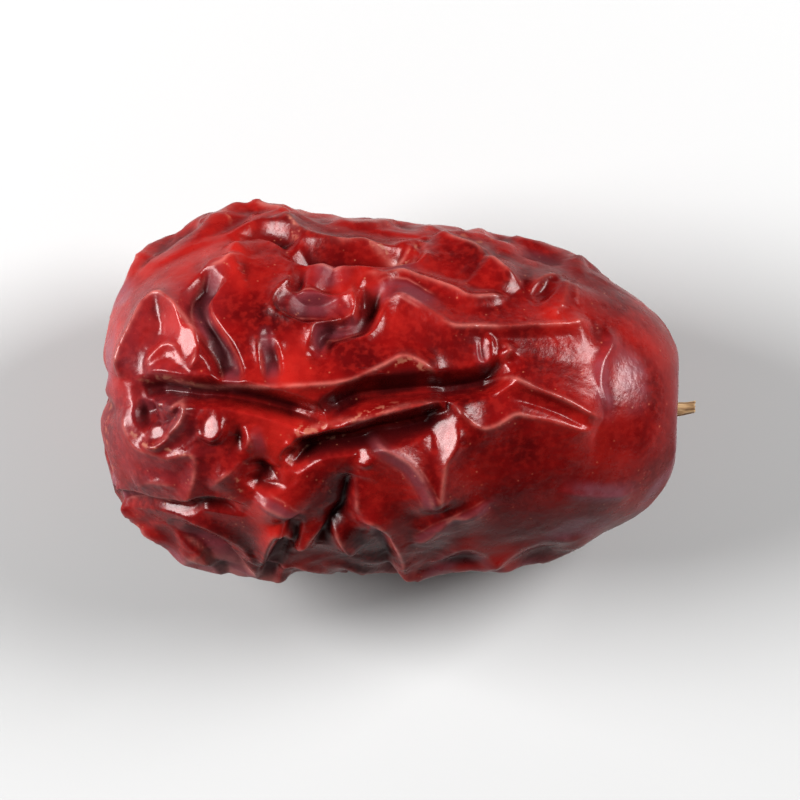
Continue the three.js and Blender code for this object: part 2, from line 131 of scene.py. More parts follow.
# %% Routes of the folds
SEEN_FOLDS = [
    # the long crease, the lips beside it, and the second crease below
    (-1.7, 0.25, [
        (-20.0, -0.4), (-18.6, 0.1), (-16.4, -0.1), (-14.0, -0.1), (-11.7, -0.4), (-8.8, -1.0),
        (-6.3, -1.7), (-5.0, -1.8),
    ]),
    (-1.7, 0.3, [
        (-5.3, -1.6), (-3.8, -0.6), (-2.3, 0.2), (0.5, 0.6), (2.5, 0.9), (4.4, 1.1), (6.6, 1.5),
        (8.2, 2.2), (9.2, 2.9),
    ]),
    (0.5, 1.2, [
        (-19.8, 0.6), (-18.3, 0.9), (-17.0, 0.7), (-15.1, 0.4), (-12.0, 0.5), (-10.0, 0.5),
        (-7.2, 0.7), (-5.1, 0.9), (-3.3, 1.3), (-2.2, 1.8), (-0.7, 2.5), (0.7, 3.2), (2.0, 2.9),
        (3.1, 2.3), (3.8, 1.7),
    ]),
    (0.6, 0, [
        (-7.5, -3.1), (-5.6, -2.4), (-3.8, -1.8), (-1.7, -1.5), (-0.3, -1.0), (1.7, -0.4),
        (3.4, -0.1), (4.5, 0.1),
    ]),
    (-1.6, 0.3, [
        (-8.1, -5.7), (-6.6, -4.4), (-4.9, -3.7), (-2.9, -3.4), (-1.2, -2.7), (0.6, -2.3),
        (2.0, -1.9), (3.4, -1.3), (4.2, -0.6),
    ]),
    # the arch at the blossom end, with a smaller one inside it
    (0.6, 1.2, [
        (-21.6, 0.6), (-21.3, 2.2), (-20.9, 3.5), (-20.2, 5.1), (-19.6, 6.3), (-18.7, 7.0),
        (-17.8, 6.6), (-16.6, 5.5), (-15.8, 4.3), (-15.6, 2.8), (-16.0, 1.2),
    ]),
    (0.3, 0.8, [(-19.9, 1.3), (-19.0, 2.6), (-18.1, 3.4), (-17.1, 3.2), (-16.6, 2.3), (-16.4, 1.5)]),
    (-0.3, 0, [(-19.3, 3.1), (-18.8, 4.7), (-18.2, 5.2)]),
    # the hook and the dimple below the arch
    (0.5, 0.8, [
        (-18.0, -1.9), (-17.2, -1.5), (-16.7, -1.0), (-16.2, -1.5), (-16.4, -2.3), (-17.0, -3.1),
        (-17.8, -3.9), (-18.2, -4.4), (-19.2, -4.4), (-19.9, -4.2),
    ]),
    (-1.0, 0.4, [(-19.8, -0.7), (-19.6, -2.0), (-18.9, -2.9)]),
    (0.4, 0, [(-15.1, -3.8), (-14.4, -2.4), (-13.7, -3.6)]),
    # the winding valley beside the arch
    (-1.0, 0.6, [
        (-14.3, 9.2), (-15.3, 8.1), (-15.9, 7.0), (-15.7, 5.6), (-14.7, 4.2), (-13.7, 3.0),
        (-13.2, 1.9), (-12.8, 0.7),
    ]),
    (0.22, 0.6, [
        (-14.0, 9.9), (-13.7, 9.1), (-14.0, 8.3), (-14.8, 7.6), (-15.3, 6.8), (-15.1, 5.9),
        (-14.4, 5.2), (-13.6, 4.2), (-12.9, 3.4), (-12.6, 2.1), (-12.3, 0.7),
    ]),
    # the folds along the upper edge
    (0.55, 0, [(-16.4, 12.0), (-14.4, 13.2), (-12.4, 13.9), (-10.4, 13.9), (-8.4, 13.2)]),
    (0.5, 0, [(-15.8, 9.2), (-14.9, 9.5), (-13.9, 9.8), (-12.9, 10.4), (-12.0, 10.5)]),
    (0.5, 0, [(-14.0, 11.3), (-12.9, 11.1), (-12.0, 10.6)]),
    (-0.8, 0.4, [(-12.8, 12.1), (-11.3, 12.5), (-9.5, 12.3), (-8.4, 11.7)]),
    (-1.5, 0.5, [
        (-8.4, 11.5), (-7.0, 11.1), (-5.1, 10.9), (-3.2, 10.8), (-1.2, 10.8), (0.4, 11.1),
        (1.3, 11.6),
    ]),
    (0.5, 0, [
        (-9.6, 13.1), (-8.5, 12.6), (-7.3, 12.2), (-5.5, 11.8), (-4.2, 11.7), (-2.9, 11.8),
        (-1.8, 11.5), (-0.4, 11.3), (0.7, 11.6), (1.6, 12.4),
    ]),
    (0.4, 0, [(-7.4, 10.2), (-5.4, 9.9), (-3.2, 9.9), (-1.0, 10.2), (0.7, 10.5), (1.8, 11.7)]),
    # the sunken field and the zigzag valley in the middle of the upper half
    (0.22, 0.6, [
        (-7.9, 10.6), (-8.1, 9.9), (-8.3, 9.2), (-9.1, 8.6), (-9.6, 8.0), (-9.8, 7.4), (-9.6, 6.7),
        (-8.5, 6.1), (-7.4, 5.6), (-6.7, 5.3),
    ]),
    (0.15, 0.5, [(-7.6, 10.5), (-7.4, 9.5), (-7.3, 8.5)]),
    (-0.5, 0.3, [(-7.7, 10.3), (-7.8, 9.5), (-8.1, 8.6), (-8.7, 8.2)]),
    (-0.8, 0.8, [(-8.6, 7.3), (-7.0, 6.9), (-4.6, 7.0)]),
    (-0.6, 1.1, [(-6.2, 9.5), (-5.2, 9.2), (-4.3, 9.2)]),
    (0.25, 0.6, [
        (-3.2, 9.4), (-3.6, 8.6), (-3.4, 7.7), (-3.1, 6.8), (-3.6, 5.8), (-4.3, 5.6), (-5.2, 5.9),
        (-6.0, 5.8), (-6.6, 5.3), (-6.4, 4.1), (-6.0, 3.0),
    ]),
    (-0.95, 0.45, [(-1.9, 8.8), (-2.1, 7.3), (-2.7, 5.8), (-4.1, 5.3), (-5.3, 4.8), (-5.9, 3.3)]),
    (0.22, 0.6, [
        (-6.0, 3.0), (-5.5, 3.2), (-5.3, 4.2), (-4.8, 4.8), (-3.4, 4.8), (-2.3, 4.9), (-1.7, 5.6),
        (-1.3, 6.4), (-0.9, 7.6),
    ]),
    (0.2, 0.6, [(-10.7, 5.5), (-10.6, 3.9), (-10.4, 2.2), (-9.8, 0.8)]),
    (0.2, 0.6, [(-9.8, 4.9), (-9.2, 3.7), (-8.8, 2.9)]),
    (-0.6, 0.4, [(-10.1, 4.3), (-9.8, 2.9), (-9.4, 1.2)]),
    # the two long crests that run on to the stem end, and the pillow between them
    (0.4, 0.9, [
        (-3.2, 9.4), (-2.1, 9.5), (-1.0, 9.4), (0.4, 9.7), (1.9, 9.3), (3.4, 8.9), (4.7, 8.5),
        (5.8, 8.0), (7.6, 8.1), (9.1, 8.4),
    ]),
    (0.5, 0, [
        (-0.9, 7.9), (0.2, 7.8), (1.3, 7.4), (2.4, 6.8), (3.6, 6.1), (4.7, 5.6), (6.9, 5.7),
        (9.2, 5.8), (11.6, 6.0), (13.9, 6.2), (15.6, 6.8),
    ]),
    (-0.3, 0, [(6.3, 5.0), (8.5, 5.1), (10.8, 5.2), (13.2, 5.4), (15.0, 5.5)]),
    (0.4, 0, [(2.0, 12.3), (2.2, 11.4), (1.8, 10.3)]),
    (0.6, 2.4, [(2.4, 12.4), (4.2, 12.0), (5.8, 11.6), (7.4, 10.8)]),
    (0.6, 1.6, [(6.3, 11.1), (7.4, 10.7), (8.7, 9.8), (10.0, 9.1)]),
    (0.4, 0, [(13.7, 10.0), (13.5, 8.7), (13.1, 7.5), (11.9, 6.3)]),
    (0.3, 0, [(14.4, 9.9), (14.4, 8.5), (15.0, 7.4)]),
    (0.3, 0, [(10.5, 8.8), (11.1, 9.4), (12.2, 10.0), (13.7, 10.2)]),
    (-0.4, 0.3, [(11.2, 8.2), (11.8, 8.8), (12.5, 9.5)]),
    # the flat field before the smooth stem end, with the sharp corner that closes it
    (0.4, 0.7, [(6.5, 4.9), (7.0, 3.8), (7.4, 2.6)]),
    (0.45, 0.7, [(8.3, 5.0), (9.2, 4.2), (8.4, 2.9)]),
    (0.6, 0, [(7.5, 2.1), (9.4, 1.9), (11.6, 1.1), (14.0, 0.3), (15.4, -0.4), (16.9, -0.9)]),
    (-0.2, 0.3, [(9.9, 0.7), (12.8, -0.1), (15.3, -1.1)]),
    (0.5, 0, [
        (4.5, 0.0), (5.3, -0.6), (6.1, -1.3), (7.2, -1.9), (8.3, -1.7), (9.8, -0.8), (10.9, -0.9),
        (13.0, -1.2), (15.2, -1.7), (16.4, -1.6),
    ]),
    (0.2, 0.7, [
        (16.9, -1.0), (17.1, 0.1), (16.6, 1.8), (16.6, 2.8), (16.8, 3.7), (17.4, 5.1), (17.0, 6.5),
    ]),
    # the lower half: dark valleys between an arc, a broad facet and a notch
    (0.6, 0, [
        (-2.0, -3.2), (-0.4, -3.8), (0.7, -4.2), (1.9, -4.9), (2.9, -6.1), (3.5, -7.4), (4.2, -8.7),
    ]),
    (0.6, 0, [(4.8, -1.4), (5.1, -2.9), (4.5, -4.8), (4.3, -6.7), (4.2, -8.6)]),
    (-1.1, 0, [(-3.1, -6.2), (-3.3, -7.8), (-3.7, -9.4), (-4.8, -10.7), (-5.8, -11.8)]),
    (0.3, 0, [(-2.6, -6.4), (-2.4, -8.4), (-2.5, -9.8)]),
    (-0.8, 0, [(-0.9, -10.1), (-0.2, -11.4), (0.5, -13.0), (0.8, -14.1)]),
    (0.5, 0, [(-2.5, -9.8), (-1.2, -9.5), (-0.1, -10.1), (0.7, -11.2), (1.4, -12.2), (1.9, -13.4)]),
    (0.4, 0, [(1.8, -11.2), (3.2, -10.7), (4.3, -9.8), (5.3, -8.9), (6.4, -8.8), (8.1, -7.9)]),
    (0.25, 0, [(1.9, -13.2), (2.8, -12.6), (4.4, -12.3), (6.4, -11.5), (8.3, -11.9), (10.5, -12.2)]),
    (-0.9, 0.6, [(-11.1, -6.3), (-9.8, -6.9), (-8.2, -6.6)]),
    (0.6, 0, [(-10.7, -8.3), (-9.3, -8.6), (-8.1, -9.1), (-7.2, -9.7)]),
    (-0.6, 0.4, [(-7.2, -9.9), (-7.6, -11.1), (-8.6, -12.6), (-9.5, -13.9)]),
    (0.4, 0, [(-14.2, -7.7), (-13.3, -6.7), (-12.3, -6.0), (-11.7, -5.5)]),
    # the small tents and pleats in the lower left
    (0.5, 0.7, [(-14.9, -1.6), (-14.2, -2.6), (-13.4, -3.4)]),
    (0.5, 0.7, [(-15.4, -3.8), (-14.2, -2.9), (-12.9, -3.0)]),
    (-0.5, 0, [(-12.4, -2.6), (-12.0, -3.6), (-12.5, -4.6)]),
    (0.35, 0.6, [(-11.6, -2.6), (-11.2, -3.8), (-11.6, -4.8)]),
    (-0.9, 0, [(-11.4, -5.9), (-9.9, -6.1), (-8.4, -7.4)]),
    (0.4, 0.7, [(-8.3, -3.6), (-7.4, -4.6), (-7.6, -5.6)]),
    (0.5, 0.8, [(-7.2, -12.0), (-8.6, -10.7), (-9.4, -11.6), (-9.8, -12.9)]),
    (0.55, 0.9, [(-7.4, -12.2), (-5.6, -10.9), (-4.6, -10.2)]),
    (0.5, 0.9, [(-4.6, -10.2), (-3.4, -11.4), (-2.2, -12.4)]),
    # the smooth band at the blossom end
    (0.35, 0, [
        (-21.3, -1.6), (-20.9, -3.0), (-20.3, -4.2), (-19.5, -4.8), (-18.5, -5.0), (-17.5, -5.3),
        (-16.5, -5.0), (-15.4, -5.1), (-15.3, -6.3), (-15.6, -7.7), (-16.1, -9.3),
    ]),
    (0.3, 0, [(-20.3, -7.8), (-18.9, -7.3), (-17.5, -7.4), (-16.2, -7.9)]),
    (-0.6, 0.35, [
        (-22.1, -8.6), (-20.2, -9.1), (-18.5, -9.3), (-16.3, -9.5), (-14.9, -9.0), (-13.5, -9.1),
        (-11.7, -9.4),
    ]),
    (0.25, 0.6, [(-16.6, -10.2), (-14.8, -10.6), (-12.9, -11.4), (-11.4, -12.2), (-10.1, -13.0)]),
    (0.4, 0, [(-17.2, -12.8), (-15.2, -13.0), (-13.4, -13.7), (-11.8, -14.6), (-10.5, -15.3)]),
    (-0.55, 0.85, [(-16.5, -11.2), (-13.9, -12.2), (-11.2, -13.5)]),
    (0.4, 0, [(-13.0, -14.2), (-11.0, -14.6), (-9.0, -14.6), (-7.2, -13.8)]),
    # the faint edges on the smooth stem end
    (0.1, 0, [(23.0, -2.4), (22.3, -6.2), (21.1, -7.9), (19.3, -9.3), (17.5, -10.5)]),
    (0.15, 0, [(13.7, -6.8), (16.0, -7.0), (18.4, -7.0), (19.9, -6.6)]),
]
print(len(SEEN_FOLDS), "folds on the seen side")


# %% Routes laid on the fruit
def seen_points(route):
    """A route's points on the plain fruit. The fruit is turned a little towards the viewer."""
    along, across = np.array(route, float).T
    power = np.where(along > 0, STEM_SQUARENESS, BLOSSOM_SQUARENESS)
    share = np.maximum(0, 1 - np.abs(2 * along / LENGTH) ** power) ** (1 / power)
    radius = np.maximum(0.5, (WIDTH / 2 - TAPER * along) * share)
    turn = np.arcsin(np.clip(across / radius, -1, 1)) - SEEN_TURN
    return np.stack([along, radius * np.sin(turn), radius * np.cos(turn) * HEIGHT / WIDTH], axis=1)


def smooth_route(corners, step=0.25):
    """Closely spaced points on a smooth curve through the corners."""
    ends = np.vstack([2 * corners[0] - corners[1], corners, 2 * corners[-1] - corners[-2]])
    points = []
    for a, b, c, d in zip(ends, ends[1:], ends[2:], ends[3:]):
        count = max(2, int(np.linalg.norm(c - b) / step))
        t = np.linspace(0, 1, count, endpoint=False)[:, None]
        points.append(0.5 * (
            2 * b + (c - a) * t + (2 * a - 5 * b + 4 * c - d) * t**2 + (3 * b - a - 3 * c + d) * t**3))
    return np.vstack([*points, corners[-1:]])


def scatter(index):
    """Numbers from 0 to 1 that look random and are always the same for the same index."""
    wide = np.sin(np.asarray(index, float) * 12.9898 + 4.1414) * 43758.5453
    return wide - np.floor(wide)


PUCKERS, PUCKER_LEVEL = 9, -0.7
PUCKER_START, PUCKER_END, PUCKER_STRAY = 1.2, 5, 2.5


def pucker_routes():
    """Short creases that run out from the blossom pit like the folds of a drawn purse."""
    routes = []
    for index in range(PUCKERS):
        angle = (index + 0.5 * scatter(index)) / PUCKERS * 2 * math.pi
        outer = PUCKER_END + PUCKER_STRAY * scatter(index + PUCKERS)
        radii = np.array([PUCKER_START, 0.55 * outer, outer])
        ways = np.stack([-16 + 0.5 * radii, radii * math.sin(angle), radii * math.cos(angle)], axis=1)
        routes.append((PUCKER_LEVEL, 0, plain_form(unit(ways))))
    return routes


folds = [(level, spread, smooth_route(seen_points(route))) for level, spread, route in SEEN_FOLDS]
folds += [(level, spread, smooth_route(corners)) for level, spread, corners in pucker_routes()]
print(sum(len(points) for _, _, points in folds), "points on all the routes")

# %% [markdown]
# ## Finer triangles along the folds
# The pinched top of a crest is only a few tenths of a millimetre wide. Dividing the whole ball once more
# would make four times as many triangles. Cutting only those beside the lines puts the detail where it
# shows, and leaves the smooth skin light. A valley with a floor needs them along its two walls.

# %% Distances to a route
def gap_to_route(places, points):
    """How far each place is from a route, the nearest point on it, and how far that is from its ends."""
    at = np.linalg.norm(places[:, None] - points[None], axis=2).argmin(1)
    run = np.concatenate([[0], np.cumsum(np.linalg.norm(np.diff(points, axis=0), axis=1))])
    gap, nearest, along = np.full(len(places), np.inf), np.zeros_like(places), np.zeros(len(places))
    for start in (np.maximum(at - 1, 0), np.minimum(at, len(points) - 2)):
        way = points[start + 1] - points[start]
        t = np.clip(((places - points[start]) * way).sum(1) / (way**2).sum(1), 0, 1)
        foot = points[start] + t[:, None] * way
        apart = np.linalg.norm(places - foot, axis=1)
        closer = apart < gap
        gap[closer], nearest[closer] = apart[closer], foot[closer]
        along[closer] = (run[start] + t * (run[start + 1] - run[start]))[closer]
    return gap, nearest, np.minimum(along, run[-1] - along)


def close_to(places, points, reach):
    """Which of the places lie in a route's box, widened by the reach."""
    return np.nonzero(((places > points.min(0) - reach) & (places < points.max(0) + reach)).all(1))[0]


# %% Cut the triangles beside the lines
CUT_WITHIN, WALL_OFFSET = 0.75, 0.4
CUT_SEARCH, FAR_FROM_FOLDS = 2, 9.0


def gap_to_folds(places):
    gap = np.full(len(places), FAR_FROM_FOLDS)
    for level, spread, points in folds:
        near = close_to(places, points, CUT_SEARCH)
        edge = spread + WALL_OFFSET if level < 0 and spread else 0
        gap[near] = np.minimum(gap[near], np.abs(gap_to_route(places[near], points)[0] - edge))
    return gap


near_line = gap_to_folds(plain_form(directions)) < CUT_WITHIN
cut = [e for e in ball.edges if all(near_line[v.index] for v in e.verts)]
bmesh.ops.subdivide_edges(ball, edges=cut, cuts=1)
bmesh.ops.triangulate(ball, faces=ball.faces)
ball.verts.index_update()
plain = plain_form(unit(np.array([v.co for v in ball.verts])))
print(len(cut), "edges cut;", len(ball.faces), "triangles")

# %% [markdown]
# ## The height of the skin
# A crest falls away on both sides as a hanging sheet does, steep at first and then ever flatter.
# A plain crease is the same shape upside down, and a valley with a floor has a soft wall on each side.
# Adding the folds up would make towers where they meet, so there the strongest one wins, with a soft
# blend. The deepest creases also draw in the skin beside them, so that their lips close over them. The
# masks of the crests and of the creases tell the finish where to paint a highlight along the crests and
# shade in the creases.

# %% Slopes of a fold
FOLD_ROUND, PINCHED_SHARE = 0.22, 0.06
CREASE_REACH = 0.8
WALL_LEAST, WALL_GROWTH, WALL_MOST = 0.3, 0.5, 1.2


def smoothstep(value, low, high):
    t = np.clip((value - low) / (high - low), 0, 1)
    return t * t * (3 - 2 * t)


def fold_side(distance, reach):
    """A slope that is rounded at the top and ever flatter further out."""
    return np.exp((FOLD_ROUND - np.hypot(distance, FOLD_ROUND)) / reach)


def crest_side(distance, reach):
    """A broad slope with a thin pinched line on top."""
    line = np.exp(-((distance / FOLD_ROUND) ** 2))
    return (1 - PINCHED_SHARE) * fold_side(distance, reach) + PINCHED_SHARE * line


def valley_side(distance, level, spread):
    """The wall beside a flat floor, or the slope of a crease that has none."""
    if spread:
        return 1 - smoothstep(distance, 0, min(WALL_MOST, WALL_LEAST + WALL_GROWTH * abs(level)))
    return fold_side(distance, CREASE_REACH)


# %% Height from the folds
CREST_HEIGHT, CREASE_DEPTH = 2.5, 1.25
CREST_REACH, CREST_REACH_GROWTH = 1.1, 1.2
FOLD_SEARCH, FOLD_ENDS, FOLD_BLEND, LINE_WIDTH = 6, (-0.8, 1.6), 4, 0.4
BLACK_LEVEL, FLOOR_DARKNESS = 1.8, 0.3
CLOSING_LEVEL, CLOSING_SHARE, CLOSING_REACH = -1.4, 0.2, 1.0

crest, crease, crest_highlight_mask, crease_shade_mask = np.zeros((4, len(plain)))
pinch = np.zeros((len(plain), 3))
for level, spread, points in folds:
    near = close_to(plain, points, FOLD_SEARCH)
    gap, nearest, to_end = gap_to_route(plain[near], points)
    taper = smoothstep(to_end, *FOLD_ENDS)
    side = gap if level > 0 else np.maximum(0, gap - spread)
    mask = taper * min(1, 3 * abs(level)) * np.exp(-((side / LINE_WIDTH) ** 2))
    if level > 0:
        slope = crest_side(gap, spread or CREST_REACH + CREST_REACH_GROWTH * level)
        crest[near] += (CREST_HEIGHT * level * taper * slope) ** FOLD_BLEND
        # where the finish paints a highlight along the crest
        crest_highlight_mask[near] = np.maximum(crest_highlight_mask[near], mask)
        continue
    crease[near] += (-CREASE_DEPTH * level * taper * valley_side(side, level, spread)) ** FOLD_BLEND
    # painted shade in the crease: the deeper the crease the darker, and a valley with a floor stays
    # lighter
    darkness = min(1, abs(level) / BLACK_LEVEL) * (FLOOR_DARKNESS if spread else 1)
    crease_shade_mask[near] = np.maximum(crease_shade_mask[near], darkness * mask)
    if level < CLOSING_LEVEL:
        closing = (CLOSING_SHARE * taper * np.exp(-((gap / CLOSING_REACH) ** 2)))[:, None]
        pinch[near] += closing * (nearest - plain[near])
crest, crease = crest ** (1 / FOLD_BLEND), crease ** (1 / FOLD_BLEND)
print("highest crest %.2f mm, deepest crease %.2f mm" % (crest.max(), crease.max()))

# %% [markdown]
# ## The sides that do not show
# The same skin goes all the way round. Away from the seen side the crests form a net round sunken
# fields, as on any dried fruit. Fields grow round scattered middles, and a crest stands wherever two
# fields meet, so no line has to be drawn by hand. A Voronoi texture is made in the same way, but worked
# out here the net can also say where the painted reflection lies, and where a painted highlight runs
# along its crests. A second, finer net crosses the first, and is faintly there on the seen side too.
# The stem end stays a smooth dome.

# %% A net of crests
def net_height(places, cells, stretch, jitter, wander, reach):
    """The net's height at each place, a chance number for its field, and its gap to a crest."""
    index = np.arange(cells)
    along = 1 - 2 * (index + 0.5) / cells
    girth = np.sqrt(1 - along**2)
    angle = index * math.pi * (3 - math.sqrt(5))
    middles = plain_form(np.stack([along, girth * np.cos(angle), girth * np.sin(angle)], axis=1))
    stray = np.stack([scatter(3 * index), scatter(3 * index + 1), scatter(3 * index + 2)], axis=1)
    middles = middles + (stray - 0.5) * 2 * jitter
    x, y, z = places.T
    wandered = np.stack([
        x + 1.3 * wander * np.sin(0.9 * y + 1.3 * z),
        y + wander * np.sin(0.8 * x + 0.6 * z + 1),
        z + wander * np.sin(0.7 * x - 0.9 * y + 2),
    ], axis=1)
    squash = np.array([stretch, 1, 1])
    tree = KDTree(cells)
    for at, middle in enumerate(middles * squash):
        tree.insert(middle, at)
    tree.balance()
    found = [tree.find_n(place, 2) for place in wandered * squash]
    gap = np.array([(second[2] - first[2]) / 2 for first, second in found])
    field = np.array([first[1] for first, _ in found])
    return fold_side(gap, reach), scatter(field + cells), gap


# %% Height from the nets
HIDDEN_LIMITS, UNDER_LIMITS = (-0.4, -0.1), (0.7, 0.95)
SMOOTH_DOME_START, SMOOTH_DOME_LENGTH = 13, 6
SMOOTH_TIP_LENGTH, CALM_UNDERSIDE = 4, 0.8
NET_CREST, NET_SAG = 1.3, 0.6
FINE_CREST, FINE_SINK = 0.35, 0.12
FINE_WHERE_SEEN, FINE_WHERE_SMOOTH = 0.2, 0.25

hidden = smoothstep(-(plain @ SEEN_WAY) / (HEIGHT / 2), *HIDDEN_LIMITS)
under = smoothstep(-plain[:, 2] / (HEIGHT / 2), *UNDER_LIMITS)
rough = 1 - smoothstep(plain[:, 0], SMOOTH_DOME_START, SMOOTH_DOME_START + SMOOTH_DOME_LENGTH)
rough *= smoothstep(plain[:, 0], -LENGTH / 2, -LENGTH / 2 + SMOOTH_TIP_LENGTH)
rough *= 1 - CALM_UNDERSIDE * under
rise, chance, field_gap = net_height(plain, cells=170, stretch=0.6, jitter=3.2, wander=0.8, reach=1.2)
net = hidden * rough * (NET_CREST * rise - NET_SAG * (0.4 + 1.2 * chance) * (1 - rise))
# where the finish paints a highlight along the net's crests
net_highlight_mask = hidden * rough * np.exp(-((field_gap / LINE_WIDTH) ** 2))
fine_rise, fine_chance, _ = net_height(plain, cells=520, stretch=0.7, jitter=1.8, wander=0.5, reach=0.6)
fine = FINE_CREST * fine_rise * fine_chance - FINE_SINK
seen_share = FINE_WHERE_SEEN + (1 - FINE_WHERE_SEEN) * hidden
net += seen_share * (FINE_WHERE_SMOOTH + (1 - FINE_WHERE_SMOOTH) * rough) * fine
print("net from %.2f to %.2f mm" % (net.min(), net.max()))

# %% [markdown]
# ## Painted reflection, sheen and shade, and dry skin
# A mauve reflection is painted into the hollows, where the gloss is also duller, like a bloom of wax,
# and a thinner painted sheen along the edges and over the blossom end. Along some crests the skin has
# cracked and dried to a pale tan. Painted shade makes the long creases brown-black, and painted shade
# darkens the stem end and the flanks near it. All of these could be painted on by hand. As strokes, each
# with half its width and its route, they stay in the script and can be moved by a number. On the sides
# that do not show, the painted reflection lies in the net's fields.

# %% Strokes on the skin
HOLLOW_REFLECTIONS = [
    # hollows of the upper half
    (0.6, [
        (-14.4, 9.4), (-15.3, 8.1), (-15.7, 7.0), (-15.2, 5.4), (-13.9, 3.6), (-12.9, 1.8),
        (-12.6, 0.5),
    ]),
    (0.45, [(-10.3, 4.9), (-9.9, 3.2), (-9.5, 1.0)]),
    (0.9, [(-8.7, 7.3), (-6.7, 7.5), (-4.5, 7.2)]),
    (0.9, [(-6.8, 9.4), (-4.6, 9.5)]),
    (0.8, [(-1.8, 8.2), (0.2, 8.5), (0.8, 8.3), (3.1, 7.2)]),
    (0.45, [(-2.5, 6.3), (-4.4, 5.4), (-5.9, 5.1), (-5.9, 3.5)]),
    (0.4, [(-1.1, 10.0), (1.7, 10.2)]),
    (0.4, [(6.8, 4.5), (7.2, 3.0)]),
    # hollows and facets of the lower half
    (0.4, [(-22.1, -8.6), (-19.7, -8.9), (-16.3, -9.2)]),
    (0.9, [(-16.5, -11.2), (-13.9, -12.2), (-11.2, -13.5)]),
    (0.6, [(-10.1, -8.3), (-8.6, -8.8), (-7.0, -9.9)]),
    (0.35, [(-7.6, -11.3), (-8.8, -12.3), (-9.3, -14.3)]),
    (0.4, [(-1.7, -9.8), (-0.5, -10.8), (0.8, -13.6)]),
    (0.35, [(-10.6, -3.1), (-10.2, -5.0)]),
    (0.35, [(-1.5, -3.4), (1.1, -5.1)]),
    (0.5, [(-0.5, -3.9), (1.4, -5.0), (2.9, -6.8), (3.9, -8.6)]),
    (0.4, [(8.6, -7.9), (6.4, -8.8), (4.4, -9.7), (2.3, -11.0)]),
    (0.5, [(-19.8, -0.2), (-19.9, -2.0)]),
]
SHEEN = [
    # painted sheen along the edges
    (0.8, [(-22.8, 6.9), (-21.2, 7.6)]),
    (0.9, [(-22.8, 5.2), (-22.9, 2.3), (-22.7, -0.5)]),
    (0.6, [(-22.6, -6.0), (-20.6, -10.4), (-16.8, -13.2), (-13.4, -14.4), (-9.4, -15.0)]),
    (0.5, [(3.0, -13.3), (6.1, -12.1), (9.2, -12.4), (12.4, -12.3)]),
    (0.8, [(13.2, -10.9), (15.4, -9.7), (17.9, -9.7)]),
    (0.35, [(14.6, -6.6), (17.1, -6.8), (19.6, -6.5)]),
    (0.4, [(19.8, -9.3), (21.5, -6.7), (23.1, -4.2), (23.5, -1.6)]),
    (0.35, [(16.7, 4.0), (16.8, 1.8), (17.2, -0.3)]),
    (1.0, [(17.8, 4.6), (19.4, 2.6), (19.6, 0.9)]),
]
BLOSSOM_END_SHEEN = [
    # thin painted sheen over the whole blossom end
    (5.0, [(-19.0, 9.0), (-21.5, 1.0), (-18.0, -9.0)]),
]
DRY = [
    # lips of the two creases
    (0.1, [(-20.6, 0.4), (-18.4, 0.9), (-16.4, 0.6), (-14.8, 0.4)]),
    (0.3, [(-8.1, -3.2), (-6.2, -2.5), (-4.4, -2.5)]),
    (0.1, [(0.9, -0.3), (-1.9, -1.2), (-3.7, -2.0)]),
    (0.1, [(-8.4, -6.0), (-7.4, -5.2), (-5.5, -4.0), (-2.4, -3.2)]),
    (0.1, [(-0.8, 2.0), (1.0, 2.9), (3.3, 1.9)]),
    # crests of the lower left
    (0.1, [(-10.7, -5.3), (-11.9, -6.5), (-11.8, -7.7), (-13.0, -8.8)]),
    (0.08, [(-16.1, -9.3), (-14.4, -8.9), (-12.9, -8.7)]),
    (0.08, [(-21.0, -2.6), (-19.6, -4.1), (-17.7, -4.5), (-15.2, -5.2)]),
    (0.1, [(-24.1, 5.4), (-24.0, 1.6), (-23.4, -1.8), (-22.3, -6.8), (-20.6, -11.1), (-17.3, -14.2)]),
    # crests along the upper edge
    (0.1, [(-14.1, 13.2), (-13.4, 12.6)]),
    (0.1, [(-9.3, 13.1), (-8.3, 12.3), (-7.3, 12.2)]),
    (0.1, [(-3.1, 11.8), (-1.5, 11.5), (0.4, 11.3), (1.9, 12.1)]),
    (0.12, [(3.1, 13.0), (5.7, 12.0), (8.5, 12.3)]),
]
CREASE_SHADOWS = [
    # painted shade, brown-black, deep in the long creases
    (0.3, [(-19.4, 0.0), (-16.4, 0.1), (-14.0, 0.2), (-11.1, -0.1), (-9.0, -0.7), (-7.2, -1.4)]),
    (0.6, [(-6.0, -1.2), (-5.2, -0.7), (-3.7, -0.2), (-2.2, 0.4)]),
    (0.8, [(-1.6, 0.6), (0.7, 1.4), (2.5, 1.5)]),
    (0.4, [(2.5, 1.4), (4.2, 1.2), (6.6, 1.8), (8.4, 2.5)]),
    (0.6, [(-7.5, -5.1), (-5.2, -4.2), (-2.2, -3.6), (0.1, -2.9), (2.5, -2.1), (4.2, -1.1)]),
    (0.6, [(-3.3, -6.0), (-3.7, -7.4), (-4.2, -9.0)]),
    (0.5, [(-10.6, -6.0), (-9.0, -7.0)]),
]
SHADE_PATCHES = [
    # painted shade on the stem end, the lower flank and the upper rim near the stem end
    (3.0, [(7.0, -9.0), (12.0, -8.5), (18.0, -8.0)]),
    (2.0, [(21.5, 8.0), (23.4, 3.0), (23.6, -2.0), (22.0, -7.0)]),
    (1.0, [(11.0, 10.5), (15.0, 9.8), (19.0, 8.0)]),
]
print(sum(len(strokes) for strokes in (HOLLOW_REFLECTIONS, SHEEN, BLOSSOM_END_SHEEN, DRY, CREASE_SHADOWS, SHADE_PATCHES)), "strokes")

# %% Lay the strokes
STROKE_ENDS, RIM_OFFSET, RIM_WIDTH = (-0.6, 1.2), 0.2, 0.25
BLOSSOM_END_SHEEN_SHARE, CREASE_SHADOW_SHARE = 0.25, 0.8


